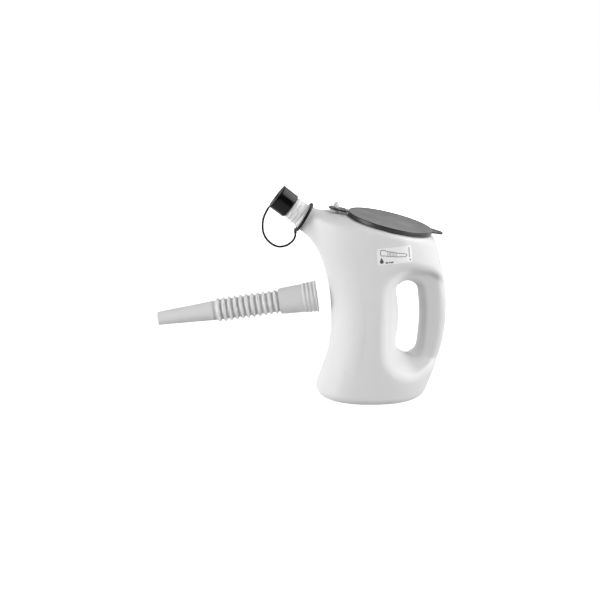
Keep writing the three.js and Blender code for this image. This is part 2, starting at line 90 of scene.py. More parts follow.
LID_X, LID_Z, LID_TILT = 113.4, 229.6, radians(13.4)
LID_RADIUS, LID_HEIGHT, LID_TOP, LID_SKIRT = 55, 5.6, 1.8, 1.6
SEAT_DROP = 6
MOUTH_RADIUS, RIM_HEIGHT, RIM_WALL, MOUTH_DEPTH = 46.5, 3, 2.6, 14
PLUG_WALL, PLUG_DEPTH = 1.6, 7.2
TAB_REACH, TAB_ROOT, TAB_TIP, TAB_THICK = 68.7, 12, 7, 2.6
HINGE_Z, HINGE_HALF = -1, 8.5
TONGUE_START, TONGUE_END, TONGUE_HALF, TONGUE_TOP, TONGUE_THICK = -57.7, -80.5, 9, -0.4, 2.6
FOLDS = (-60.2, -63.9)
STUD_X, STUD_HOLE, STUD_HEAD, STUD_RISE, STUD_BOSS, STUD_DEPTH = -71.5, 2.4, 3.8, 7.2, 4.3, 3

LABEL_X, LABEL_Z, LABEL_WIDTH, LABEL_HEIGHT, LABEL_TURN = 114.6, 197, 43, 20.8, radians(5.5)
LABEL_CORNER, LABEL_BACK, LABEL_FACE = 1.6, 0.06, 0.32

POCKET_X, POCKET_INSET, POCKET_BOTTOM, POCKET_TOP = 126, 6.5, 52.5, 159.5
CORNER_BOTTOM, CORNER_TOP, POCKET_SLOPE, POCKET_EASE, POCKET_EDGE = 25, 14, 2.4, 6, 8
POCKET_LOW, POCKET_HIGH, POCKET_REACH = 85, 145, 25
GRIP_HALF = 15
HOLE_X, HOLE_BOW, HOLE_MIDDLE, HOLE_HALF, HOLE_RADIUS, HOLE_ROUND = 138.8, 2.6, 103, 35, 13.3, 11.5

# The neck, cap, disc and ring: radii, and heights out along the neck from the ring's joint.
NECK_AT = np.array(joints["tether_swivel"]["pos_m"]) / MM
NECK_OUT = np.array(joints["tether_swivel"]["axis"])
NECK_RADIUS, NECK_FLARE, NECK_ROUND, NECK_REACH, RING_ZONE = 16.4, 0.03, 8, 60, 8
FINISH_ZONE, FINISH_START = 12, -1.5
LIP, LIP_ROUND, BORE = 36.4, 0.8, 11.4
WIDE_STEP, WIDE_STEP_END, NARROW_STEP, STEP_HEIGHT = 15, 14.3, 12.9, 18
SPOUT_THREAD = dict(start=3.2, end=17.2, pitch=5.2, height=0.5, width=1.7)
NECK_THREAD = dict(start=20.2, end=34.6, pitch=5.4, height=0.6, width=1.4)
CAP_THREAD = dict(start=21, end=34.5, pitch=5.4, height=-0.4, width=1.3)
CAP_BORE, CAP_OPEN, CAP_END = 14.1, 16.15, 16.4
CAP_LOW, CAP_ROOF, CAP_TOP, BUTTON_TOP = 19.1, 38, 39.6, 42.1
LINER_RADIUS, LINER_LOW, LINER_HIGH = 13.5, 36.75, 37.65
DISC_RADIUS, DISC_HOLE, DISC_LOW, DISC_HIGH = 17, 2.6, 39.95, 41.1
RING_INNER, RING_OUTER, RING_HALF, RING_TILT, RING_HEIGHT = 17.75, 20.2, 1.8, radians(6.5), -2.8
LUG_AT, LUG_HALF = (-7.6, 0, 215.3), 1.7

# The loose spout: radii, and heights along it from its threaded end.
SPOUT_AT = (20.5, 0, 129.9)
SPOUT_OUT = np.array(joints["spout_slide"]["axis"])
SPOUT_WALL = 1.4
BELLOWS_START, BELLOWS_END, CRESTS, CUFF = 48.6, 133.6, 11, 1.6
BELLOWS_ROOT, BELLOWS_CREST = 12.9, 16.2


# ---- Distance fields ------------------------------------------------------------------------

def mix(a, b, t):
    return a + (b - a) * t


def smooth_step(t):
    t = np.clip(t, 0, 1)
    return t * t * (3 - 2 * t)


def round_join(a, b, r):
    return np.maximum(r, np.minimum(a, b)) - np.hypot(np.maximum(r - a, 0), np.maximum(r - b, 0))


def round_cut(a, b, r):
    return np.minimum(np.maximum(a, b), -r) + np.hypot(np.maximum(a + r, 0), np.maximum(b + r, 0))


def along(points, height):
    """Smooth curve through (height, value) points, straight beyond its ends."""
    at, value = np.array(points, float).T
    index = np.arange(len(at))
    before, after = np.maximum(index - 1, 0), np.minimum(index + 1, len(at) - 1)
    slope = (value[after] - value[before]) / (at[after] - at[before])
    i = np.clip(np.searchsorted(at, height, side="right") - 1, 0, len(at) - 2)
    span = at[i + 1] - at[i]
    t = (height - at[i]) / span
    inside = np.clip(t, 0, 1)
    bend = inside * (1 - inside) * span
    curve = mix(value[i], value[i + 1], smooth_step(t))
    curve = curve + bend * ((1 - inside) * slope[i] - inside * slope[i + 1])
    beyond = np.where(t < 0, t * span * slope[0], np.where(t > 1, (t - 1) * span * slope[-1], 0))
    return curve + beyond


def superellipse(x, y, a, b, power):
    """Distance to a superellipse with half-axes a and b."""
    u, v = np.abs(x) / a, np.abs(y) / b
    q = np.maximum((u**power + v**power) ** (1 / power), 1e-6)
    steepness = q ** (1 - power) * np.hypot(u ** (power - 1) / a, v ** (power - 1) / b)
    return (q - 1) / np.maximum(steepness, 1e-6)


def side_wall(x, y, z):
    middle = AXIS_X + AXIS_LEAN * z
    t = np.clip(z / BODY_TOP, 0, 1)
    spout_side = x < middle
    edge = np.where(spout_side, along(SPOUT_SIDE, z), along(HANDLE_SIDE, z))
    power = mix(CORNER_LOW, np.where(spout_side, CORNER_SPOUT, CORNER_HANDLE), t)
    return superellipse(x - middle, y, np.abs(edge - middle), HALF_DEPTH, power)


def underside(x, y):
    """Height of the base: flat on an outer ring, raised in the middle."""
    low, high = SPOUT_SIDE[0][1], HANDLE_SIDE[0][1]
    q = np.hypot((x - (low + high) / 2) / ((high - low) / 2), y / HALF_DEPTH)
    return FOOT_RECESS * smooth_step((FOOT_OUTER - q) / (FOOT_OUTER - FOOT_INNER))


def main_chamber(x, y, z):
    deck = z - DECK_Z + y * y / (2 * DECK_CROWN)
    seat = (x - LID_X) * sin(LID_TILT) + (z - LID_Z) * cos(LID_TILT) + SEAT_DROP
    walls = round_cut(side_wall(x, y, z), round_cut(deck, seat, DECK_ROUND), SHOULDER_ROUND)
    return round_cut(walls, underside(x, y) - z, BASE_ROUND)


def pocket_floor(x, y, z):
    closed = smooth_step((z - POCKET_LOW) / (POCKET_HIGH - POCKET_LOW))
    outer_edge = along(HANDLE_SIDE, z) + mix(POCKET_REACH, -POCKET_INSET, closed)
    middle = (POCKET_BOTTOM + POCKET_TOP) / 2
    corner = np.where(z > middle, CORNER_TOP, CORNER_BOTTOM)
    across = np.maximum(POCKET_X + corner - x, x - outer_edge + corner)
    up = np.abs(z - middle) - (POCKET_TOP - POCKET_BOTTOM) / 2 + corner
    outside = np.maximum(np.hypot(np.maximum(across, 0), np.maximum(up, 0)) - corner, 0)
    rise = np.where(outside < POCKET_EASE, outside**2 / (2 * POCKET_EASE), outside - POCKET_EASE / 2)
    steepness = np.sqrt(1 + POCKET_SLOPE**2 * np.minimum(outside / POCKET_EASE, 1))
    return (np.abs(y) - GRIP_HALF - POCKET_SLOPE * rise) / steepness


def finger_hole(x, z):
    height = np.clip(z, HOLE_MIDDLE - HOLE_HALF, HOLE_MIDDLE + HOLE_HALF)
    middle = HOLE_X - HOLE_BOW * ((height - HOLE_MIDDLE) / HOLE_HALF) ** 2
    return np.hypot(x - middle, z - height) - HOLE_RADIUS


def neck_root(x, y, z):
    out = (x - NECK_AT[0]) * NECK_OUT[0] + (z - NECK_AT[2]) * NECK_OUT[2]
    across = (x - NECK_AT[0]) * NECK_OUT[2] - (z - NECK_AT[2]) * NECK_OUT[0]
    side = np.hypot(across, y) - NECK_RADIUS - NECK_FLARE * np.maximum(-out - RING_ZONE, 0)
    return np.maximum(np.maximum(side, out - 1), -out - NECK_REACH)


def jug_field(x, y, z):
    pinched = round_cut(main_chamber(x, y, z), pocket_floor(x, y, z), POCKET_EDGE)
    body = round_cut(pinched, -finger_hole(x, z), HOLE_ROUND)
    return round_join(body, neck_root(x, y, z), NECK_ROUND)


def slope_of(field, p, h=0.05):
    """The field's gradient at points p."""
    x, y, z = p.T
    return np.stack([
        field(x + h, y, z) - field(x - h, y, z),
        field(x, y + h, z) - field(x, y - h, z),
        field(x, y, z + h) - field(x, y, z - h),
    ], 1) / (2 * h)


def settle(field, p, steps=5):
    """Moves points onto the field's surface."""
    for _ in range(steps):
        g = slope_of(field, p)
        steep = np.maximum((g * g).sum(1), 0.05)
        p = p - g * (field(*p.T) / steep)[:, None]
    return p


def surface_of(field, cell, low, high):
    """Points and quads of the field's surface: one point in each cell that it crosses."""
    axes = [np.arange(a, b + cell, cell) for a, b in zip(low, high)]
    grid = np.meshgrid(*axes, indexing="ij")
    value = field(*grid)
    cells = tuple(n - 1 for n in value.shape)
    total, hits, edges = np.zeros(cells + (3,)), np.zeros(cells), []
    for axis in range(3):
        low_end = tuple(slice(0, -1) if k == axis else slice(None) for k in range(3))
        high_end = tuple(slice(1, None) if k == axis else slice(None) for k in range(3))
        a, b = value[low_end], value[high_end]
        crossed = (a < 0) != (b < 0)
        t = np.where(crossed, a / np.where(crossed, a - b, 1), 0)
        place = [g[low_end] + (t * cell if k == axis else 0) for k, g in enumerate(grid)]
        u, v = (axis + 1) % 3, (axis + 2) % 3
        for du in (0, 1):
            for dv in (0, 1):
                part = [slice(None)] * 3
                part[u], part[v] = slice(du, du + cells[u]), slice(dv, dv + cells[v])
                part = tuple(part)
                hits += crossed[part]
                for k in range(3):
                    total[..., k] += np.where(crossed[part], place[k][part], 0)
        edges.append((axis, u, v, np.argwhere(crossed), a < 0))
    index = np.full(cells, -1)
    used = hits > 0
    index[used] = np.arange(used.sum())
    points = settle(field, total[used] / hits[used][:, None])
    quads = []
    for axis, u, v, where, inside in edges:
        around = []
        for du, dv in ((-1, -1), (0, -1), (0, 0), (-1, 0)):
            at = where.copy()
            at[:, u] += du
            at[:, v] += dv
            around.append(index[tuple(at.T)])
        around = np.stack(around, 1)
        flip = ~inside[tuple(where.T)]
        around[flip] = around[flip][:, ::-1]
        quads.append(around)
    return points, np.concatenate(quads)


def front_of(x, z, lift=0.0):
    """Points on the jug's front face above x and z, lifted off it along its normal."""
    x, z = np.broadcast_arrays(np.asarray(x, float), np.asarray(z, float))
    outside, inside = np.full(x.shape, -HALF_DEPTH - 10.0), np.full(x.shape, -float(GRIP_HALF))
    for _ in range(30):
        y = (outside + inside) / 2
        out = jug_field(x, y, z) > 0
        outside, inside = np.where(out, y, outside), np.where(out, inside, y)
    p = np.stack([x, inside, z], -1).reshape(-1, 3)
    g = slope_of(jug_field, p)
    return (p + lift * g / np.linalg.norm(g, axis=1)[:, None]).reshape(x.shape + (3,))


# ---- Meshes -----------------------------------------------------------------------------------

def placed(points, origin, up):
    """Points made along +Z, moved so that +Z is up and their origin is origin."""
    up = np.array(up, float) / np.linalg.norm(up)
    side = np.array([up[2], 0, -up[0]])
    x, y, z = np.asarray(points, float).T
    return np.array(origin) + np.outer(x, side) + np.outer(y, (0, 1, 0)) + np.outer(z, up)


def on_neck(points):
    return placed(points, NECK_AT, NECK_OUT)


def on_seat(points):
    return placed(points, (LID_X, 0, LID_Z), (sin(LID_TILT), 0, cos(LID_TILT)))


def on_stud(points):
    return on_seat(np.asarray(points) + (STUD_X, 0, 0))


def on_spout(points):
    return placed(points, SPOUT_AT, SPOUT_OUT)


def solid(name, points, faces, place=None):
    """A mesh object from points in millimetres, with its faces turned outwards."""
    points = np.asarray(points, float)
    if place is not None:
        points = place(points)
    mesh = bpy.data.meshes.new(name)
    mesh.from_pydata((points * MM).tolist(), [], [list(map(int, face)) for face in faces])
    work = bmesh.new()
    work.from_mesh(mesh)
    if work.calc_volume(signed=True) < 0:
        bmesh.ops.reverse_faces(work, faces=work.faces)
    work.to_mesh(mesh)
    work.free()
    made = bpy.data.objects.new(name, mesh)
    bpy.context.scene.collection.objects.link(made)
    return made


def gathered(meshes):
    """Several meshes, each points and faces, as one."""
    points, faces, count = [], [], 0
    for p, f in meshes:
        points.append(p)
        faces += [[v + count for v in face] for face in f]
        count += len(p)
    return np.concatenate(points), faces


def loft(rings, closed=False):
    """Faces through rings of points, capped at both ends unless the last ring meets the first."""
    rings = np.array(rings, float)
    count, n = rings.shape[:2]
    index = np.arange(count * n).reshape(count, n)
    ahead = np.roll(index, -1, axis=1)
    faces = np.stack([index, ahead, np.roll(ahead, -1, axis=0), np.roll(index, -1, axis=0)], -1)
    faces = (faces if closed else faces[:-1]).reshape(-1, 4).tolist()
    if not closed:
        faces += [index[0][::-1].tolist(), index[-1].tolist()]
    return rings.reshape(-1, 3), faces


def softened(profile, radius, closed=False, steps=4):
    """The profile with its corners rounded."""
    p = np.array(profile, float)
    made = []
    for k in range(len(p)):
        if not closed and k in (0, len(p) - 1):
            made.append(p[k])
            continue
        before, after = p[k - 1] - p[k], p[(k + 1) % len(p)] - p[k]
        a, b = np.linalg.norm(before), np.linalg.norm(after)
        reach = min(radius, 0.48 * a, 0.48 * b)
        start, end = p[k] + before / a * reach, p[k] + after / b * reach
        for t in np.linspace(0, 1, steps + 1):
            made.append((1 - t) ** 2 * start + 2 * t * (1 - t) * p[k] + t * t * end)
    return np.array(made)


def turned(profile, segments, closed=False, wave=None):
    """A profile of (radius, height) turned round +Z. wave changes radius with angle and height."""
    angle = np.arange(segments) * tau / segments
    rings = []
    for radius, height in np.asarray(profile, float):
        r = radius + (wave(angle, height) if wave else 0)
        rings.append(np.stack([r * np.cos(angle), r * np.sin(angle), np.full(segments, height)], 1))
    return loft(rings, closed)


def rows(profile, step=0.35):
    """The profile with points added, so that none are further apart than step."""
    made = [profile[0]]
    for a, b in zip(profile[:-1], profile[1:]):
        count = max(1, int(np.ceil(np.linalg.norm(np.subtract(b, a)) / step)))
        made += [np.array(a) + (np.array(b) - a) * t for t in np.arange(1, count + 1) / count]
    return np.array(made)


def helix(start, end, pitch, height, width):
    """A thread that fades in and out, as a wave for turned()."""
    def wave(angle, at):
        phase = (at / pitch - angle / tau + 0.5) % 1 - 0.5
        ridge = smooth_step((width - np.abs(phase) * pitch) / (0.55 * width))
        turn = at - angle / tau * pitch
        ends = smooth_step((at - start) / 1.2) * smooth_step((end - at) / 1.2)
        runs = smooth_step((turn - start + pitch) / 1.5) * smooth_step((end - turn) / 1.5)
        return height * ridge * ends * runs
    return wave


def joined(base, others, operation="UNION"):
    """base with the others joined to it, or cut from it, in one closed mesh."""
    for other in others:
        modifier = base.modifiers.new(operation, "BOOLEAN")
        modifier.operation = operation
        modifier.solver = "MANIFOLD"
        modifier.object = other
        graph = bpy.context.evaluated_depsgraph_get()
        mesh = bpy.data.meshes.new_from_object(base.evaluated_get(graph))
        base.modifiers.clear()
        base.data = mesh
        bpy.data.objects.remove(other)
    return base


def finished(made, material, angle=38):
    """Shades the piece smooth but for its edges, and gives it its material."""
    made.data.materials.clear()
    made.data.materials.append(material)
    made.data.shade_smooth()
    made.data.set_sharp_from_angle(angle=radians(angle))
    return made


def tongue(root_x, root_half, centre_x, radius, inset=0.0, segments=20):
    """Outline of a tongue with a round end, moved in by inset everywhere but at its root."""
    way = 1 if centre_x > root_x else -1
    turn = np.linspace(-pi / 2, pi / 2, segments + 1)
    radius = radius - inset
    arc = np.stack([centre_x + way * radius * np.cos(turn), radius * np.sin(turn)], 1)
    return np.concatenate([[[root_x, -(root_half - inset)]], arc, [[root_x, root_half - inset]]])


def stacked(outline, layers):
    """A closed form through outline(inset) at each (inset, height) of the layers."""
    count = len(outline(0))
    return loft([np.column_stack([outline(inset), np.full(count, z)]) for inset, z in layers])


def relief(path, width, height, sink=0.5, step=1.2):
    """A raised line on the front of the jug, along (x, z) points, rounded across and at its ends."""
    path = np.array(path, float)
    gap = np.linalg.norm(np.diff(path, axis=0), axis=1)
    at = np.concatenate([[0], np.cumsum(gap)])
    count = max(3, int(np.ceil(at[-1] / step)) + 1)
    s = np.linspace(0, at[-1], count)
    middle = np.stack([np.interp(s, at, path[:, 0]), np.interp(s, at, path[:, 1])], 1)
    way = np.gradient(middle, axis=0)
    way /= np.linalg.norm(way, axis=1)[:, None]
    across = np.stack([-way[:, 1], way[:, 0]], 1)
    first, last = middle[0] - way[0] * width / 2, middle[-1] + way[-1] * width / 2
    middle = np.concatenate([[first], middle, [last]])
    across = np.concatenate([across[:1], across, across[-1:]])
    size = np.ones(len(middle))
    size[[0, -1]] = 0.35
    section = [(-0.5, -sink), (-0.42, 0.55 * height), (-0.18, height), (0.18, height),
               (0.42, 0.55 * height), (0.5, -sink)]
    u, lift = np.array(section).T
    wide = (width * size)[:, None] * u
    x, z = middle[:, :1] + across[:, :1] * wide, middle[:, 1:] + across[:, 1:] * wide
    lifted = np.where(lift < 0, lift, lift * size[:, None])
    return loft(front_of(x, z, lifted.reshape(-1, 1)))


# ---- Materials --------------------------------------------------------------------------------

def node(tree, kind, **inputs):
    """A shader node with its inputs set by name; spaces in names are written as underscores."""
    made = tree.nodes.new(kind)
    for name, value in inputs.items():
        made.inputs[name.replace("_", " ")].default_value = value
    return made


def grey(level):
    return (level, level, level)


def noise_node(tree, place, scale, detail=3.0, roughness=0.55):
    made = node(tree, "ShaderNodeTexNoise", Scale=scale, Detail=detail, Roughness=roughness)
    tree.links.new(place, made.inputs["Vector"])
    return made.outputs["Fac"]


def ranged(tree, value, low, high, out_low, out_high):
    """The value, with low..high spread over out_low..out_high."""
    made = tree.nodes.new("ShaderNodeMapRange")
    names = ("From Min", "From Max", "To Min", "To Max")
    for name, number in zip(names, (low, high, out_low, out_high)):
        made.inputs[name].default_value = number
    tree.links.new(value, made.inputs["Value"])
    return made.outputs["Result"]


def blended(tree, share, a, b):
    """Colour a where share is 0 and b where it is 1. Each is a colour or a socket."""
    made = tree.nodes.new("ShaderNodeMix")
    made.data_type = "RGBA"
    tree.links.new(share, made.inputs["Factor"])
    for socket, colour in ((made.inputs[6], a), (made.inputs[7], b)):
        if isinstance(colour, tuple):
            socket.default_value = colour + (1,)
        else:
            tree.links.new(colour, socket)
    return made.outputs[2]


def plastic(name, colour, worn, roughness, grain, grain_scale, haze=0.06, rubbed=0.5,
            specular=0.5, glow=0.0):
    """Moulded plastic: mottled colour, a grain, faint scuffs, and edges rubbed to a paler tone."""
    made = bpy.data.materials.new(name)
    made.use_nodes = True
    tree = made.node_tree
    shader = tree.nodes["Principled BSDF"]
    place = tree.nodes.new("ShaderNodeTexCoord").outputs["Object"]
    cloud = noise_node(tree, place, 28, 4)
    fine = noise_node(tree, place, grain_scale, 2)
    scratch_place = tree.nodes.new("ShaderNodeMapping")
    scratch_place.inputs["Scale"].default_value = (60, 60, 900)
    scratch_place.inputs["Rotation"].default_value = (0.3, 0.9, 0.2)
    tree.links.new(place, scratch_place.inputs["Vector"])
    scratch = noise_node(tree, scratch_place.outputs["Vector"], 1.0, 2, 0.7)
    pointed = tree.nodes.new("ShaderNodeNewGeometry").outputs["Pointiness"]
    edge = ranged(tree, pointed, 0.52, 0.6, 0, rubbed)
    darker = tuple(c * (1 - haze) for c in colour)
    body = blended(tree, ranged(tree, cloud, 0.3, 0.7, 0, 1), darker, colour)
    tree.links.new(blended(tree, edge, body, worn), shader.inputs["Base Color"])
    dull = ranged(tree, cloud, 0.3, 0.7, roughness - 0.05, roughness + 0.06)
    marks = ranged(tree, scratch, 0.62, 0.75, 0, 0.1)
    total = tree.nodes.new("ShaderNodeMath")
    tree.links.new(dull, total.inputs[0])
    tree.links.new(marks, total.inputs[1])
    tree.links.new(total.outputs[0], shader.inputs["Roughness"])
    bump = node(tree, "ShaderNodeBump", Strength=grain, Distance=0.0004)
    tree.links.new(fine, bump.inputs["Height"])
    deep = node(tree, "ShaderNodeBump", Strength=0.12 * grain, Distance=0.0004)
    tree.links.new(scratch, deep.inputs["Height"])
    tree.links.new(bump.outputs["Normal"], deep.inputs["Normal"])
    tree.links.new(deep.outputs["Normal"], shader.inputs["Normal"])
    shader.inputs["Specular IOR Level"].default_value = specular
    if glow:
        shader.inputs["Subsurface Weight"].default_value = glow
        shader.inputs["Subsurface Radius"].default_value = (1.0, 1.0, 1.0)
        shader.inputs["Subsurface Scale"].default_value = 0.004
    return made


def printed(name):
    """Label film: pale stock with dark ink where the mesh says ink."""
    made = plastic(name, grey(0.97), grey(0.98), 0.3, 0.05, 900, 0.01, 0.2, specular=0.7)
    tree = made.node_tree
    shader = tree.nodes["Principled BSDF"]
    ink = tree.nodes.new("ShaderNodeAttribute")
    ink.attribute_name = "ink"
    paper = shader.inputs["Base Color"].links[0].from_socket
    speckle = noise_node(tree, tree.nodes.new("ShaderNodeTexCoord").outputs["Object"], 1500, 2)
    dark = blended(tree, speckle, grey(0.012), grey(0.05))
    tree.links.new(blended(tree, ink.outputs["Fac"], paper, dark), shader.inputs["Base Color"])
    return made


hdpe = plastic("jug_hdpe", grey(0.83), grey(0.88), 0.46, 0.35, 420, 0.02, 0.3,
               specular=0.35, glow=0.2)
spout_pe = plastic("spout_pe", grey(0.8), grey(0.86), 0.42, 0.25, 520, 0.02, 0.3,
                   specular=0.35, glow=0.2)
lid_plastic = plastic("lid_plastic", (0.02, 0.02, 0.021), (0.06, 0.06, 0.062), 0.32, 0.25, 900,
                      0.12, specular=0.35)
cap_plastic = plastic("cap_plastic", (0.002, 0.002, 0.0022), (0.03, 0.03, 0.032), 0.2, 0.06, 700,
                      0.3, specular=0.15)
rubber = plastic("tether_rubber", (0.008, 0.008, 0.009), (0.03, 0.03, 0.032), 0.5, 0.4, 1100,
                 0.3, specular=0.16)
nylon = plastic("stud_nylon", (0.8, 0.8, 0.78), (0.86, 0.86, 0.85), 0.38, 0.2, 800, 0.04, glow=0.2)
foam = plastic("liner_foam", (0.62, 0.6, 0.55), (0.7, 0.68, 0.62), 0.85, 0.8, 1600, 0.1)
label_film = printed("label_film")


# ---- Camera and the tether's strap -------------------------------------------------------------

CAMERA_X = -0.0017
lens = bpy.data.cameras.new("camera")
lens.lens = 78.1
camera = bpy.data.objects.new("camera", lens)
camera.location = (CAMERA_X, -1.6218, 0.5590)
camera.rotation_mode = "QUATERNION"
camera_aim = Vector((CAMERA_X, 0, 0.1244))
camera.rotation_quaternion = (camera_aim - camera.location).to_track_quat("-Z", "Y")
bpy.context.scene.collection.objects.link(camera)
bpy.context.scene.camera = camera

STRAP_DIAMETER = 2.8
STRAP_ROUTE = [(-7.4, 211.5), (-8.1, 207.8), (-9.6, 204.4), (-12.1, 201.3), (-15, 198.9),
               (-18.6, 196.8), (-24.9, 195), (-30.6, 195.3), (-36, 197.5), (-41.3, 201.6),
               (-44.8, 205.6), (-46.8, 209.2), (-48.6, 214.8), (-49.2, 222.2), (-48.5, 229.6),
               (-46.3, 236.6), (-44.1, 241), (-41.5, 245.4)]


def strap_line(count):
    """Points evenly along the smooth curve through the route."""
    p = np.array([(x, 0, z) for x, z in STRAP_ROUTE])
    gap = np.linalg.norm(np.diff(p, axis=0), axis=1)
    at = np.concatenate([[0], np.cumsum(gap)])
    slope = np.gradient(p, at, axis=0)
    s = np.linspace(0, at[-1], count)
    i = np.clip(np.searchsorted(at, s, side="right") - 1, 0, len(p) - 2)
    span = (at[i + 1] - at[i])[:, None]
    t = (s - at[i])[:, None] / span
    return (mix(p[i], p[i + 1], t * t * (3 - 2 * t))
            + t * (1 - t) * span * ((1 - t) * slope[i] - t * slope[i + 1]))


def tube(line, radius, segments=14):
    """A round tube along a line in the plane of X and Z, with flat ends."""
    way = np.gradient(line, axis=0)
    way /= np.linalg.norm(way, axis=1)[:, None]
    angle = np.arange(segments) * tau / segments
    rings = []
    for place, ahead in zip(line, way):
        across = np.outer(np.cos(angle), [ahead[2], 0, -ahead[0]])
        rings.append(place + radius * (across + np.outer(np.sin(angle), (0, 1, 0))))
    return loft(rings)


line = strap_line(90)
strap = solid("tether_strap_cord", *tube(line, STRAP_DIAMETER / 2))
finished(strap, rubber)
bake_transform(strap)
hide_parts("tether_strap")


# ---- Jug ---------------------------------------------------------------------------------------

FIELD_LOW, FIELD_HIGH = (-38, -76.5, -16), (206, 76.5, 262)
SHELL_CELL, HOLLOW_CELL = 2.0, 3.0


def blown_body(x, y, z):
    """The jug's outside up to the tether ring, where the neck finish takes over."""
    out = (x - NECK_AT[0]) * NECK_OUT[0] + (z - NECK_AT[2]) * NECK_OUT[2]
    return np.maximum(jug_field(x, y, z), np.where(out < FINISH_ZONE, out - FINISH_START, -50))


def rod(radius, start, end, segments, place):
    profile = [(radius * 0.2, start), (radius, start), (radius, end), (radius * 0.2, end)]
    return solid("cutter", *turned(profile, segments), place)


def neck_finish():
    """The two threaded steps of the neck: a wide one for the spout, a narrow one for the cap."""
    wide = rows([(WIDE_STEP, 2.2), (WIDE_STEP_END, 17.6)], 0.4)
    narrow = rows([(NARROW_STEP, 19), (NARROW_STEP, 35.2)], 0.4)
    profile = np.concatenate([
        softened([(4, -9), (15.7, -9), (15.7, -1.9), (16.46, -1.9)], 0.05, steps=1),
        softened([(16.44, -1.6), (NECK_RADIUS, 0.6), (15.2, 1.6), (WIDE_STEP, 2.4)], 0.6)[1:],
        wide[(wide[:, 1] > 2.5) & (wide[:, 1] < 17)],
        softened([(WIDE_STEP_END, 17.2), (WIDE_STEP_END, STEP_HEIGHT), (NARROW_STEP, 18.8),
                  (NARROW_STEP, 19.4)], 0.5),
        narrow[narrow[:, 1] > 19.6],
        softened([(NARROW_STEP, 35.3), (NARROW_STEP, LIP), (9, LIP), (4, LIP)], LIP_ROUND),
    ])
    lower, upper = helix(**SPOUT_THREAD), helix(**NECK_THREAD)
    wave = lambda angle, at: lower(angle, at) if at < STEP_HEIGHT else upper(angle, at)
    return solid("neck_finish", *turned(profile, 96, wave=wave), on_neck)


def level_marks():
    """Raised level line, ticks and figures, at the heights where the jug holds that many litres."""
    strokes = {
        "0": [[(0, 0.2), (0, 0.8), (0.2, 1), (0.4, 1), (0.6, 0.8), (0.6, 0.2), (0.4, 0), (0.2, 0),
               (0, 0.2)]],
        "1": [[(0.1, 0.75), (0.35, 1), (0.35, 0)]],
        "2": [[(0, 0.8), (0.15, 1), (0.45, 1), (0.6, 0.8), (0.55, 0.55), (0, 0), (0.62, 0)]],
        "5": [[(0.58, 1), (0.08, 1), (0.02, 0.55), (0.4, 0.6), (0.6, 0.4), (0.55, 0.1), (0.3, 0),
               (0, 0.08)]],
        ".": [[(0.0, 0.0), (0.0, 0.12)]],
    }
    figure, figure_step, dot_step = 5, 4.2, 1.6
    spine = [(65, 196.7), (69.5, 182.6), (73.3, 163.7), (76.7, 135.8), (78.1, 116.8),
             (78.3, 97.5), (75.4, 68.9), (73.6, 50), (73.1, 39), (71.9, 36.3), (70, 36)]
    heights = np.array([p[1] for p in spine[:-1]][::-1])
    places = np.array([p[0] for p in spine[:-1]][::-1])
    marks = [relief(spine, 0.9, 0.5)]
    levels = [("0.5", 40.9), ("", 66.7), ("1", 98.5), ("", 131), ("1.5", 161.7), ("", 183)]
    for label, z in levels:
        x = np.interp(z, heights, places)
        length = 7 if label else 4.5
        marks.append(relief([(x - length, z), (x - 1.2, z)], 0.8, 0.34))
        steps = [dot_step if sign == "." else figure_step for sign in label]
        pen = x - length - 1.6 - sum(steps)
        for sign, step in zip(label, steps):
            for stroke in strokes[sign]:
                path = [(pen + figure * u, z + figure * (v - 0.5)) for u, v in stroke]
                marks.append(relief(path, 0.7, 0.3, step=0.8))
            pen += step
    return solid("level_marks", *gathered(marks))


def parting_line():
    """The low ridge that the mould's two halves leave, along both ends of the jug and under it."""
    ridges, count = [], 60
    centre = np.array([100.0, 120.0])
    middle_plane = np.zeros(count)
    for start, end in ((-106, -84), (150, 242), (-58, 35)):
        angle = radians(1) * np.linspace(start, end, count)
        ray = np.stack([np.cos(angle), np.sin(angle)], 1)
        inner, outer = np.full(count, 46.0), np.full(count, 150.0)
        for _ in range(26):
            reach = (inner + outer) / 2
            x, z = (centre + ray * reach[:, None]).T
            out = jug_field(x, middle_plane, z) > 0
            outer, inner = np.where(out, reach, outer), np.where(out, inner, reach)
        x, z = (centre + ray * inner[:, None]).T
        p = np.stack([x, middle_plane, z], 1)
        g = slope_of(jug_field, p)
        g /= np.linalg.norm(g, axis=1)[:, None]
        fade = np.minimum(1, 4 * np.sin(np.linspace(0.02, pi - 0.02, count)))[:, None]
        half = [(0.55, -0.5), (0.5, 0.02), (0.16, 0.2 * fade)]
        ring = [p + lift * g - (0, side, 0) for side, lift in half]
        ring += [p + lift * g + (0, side, 0) for side, lift in half[::-1]]
        ring = np.stack(ring, 1)
        ring[..., 0] = np.minimum(ring[..., 0], cad_box[1].x / MM)
        ridges.append(loft(ring))
    return solid("parting_line", *gathered(ridges))


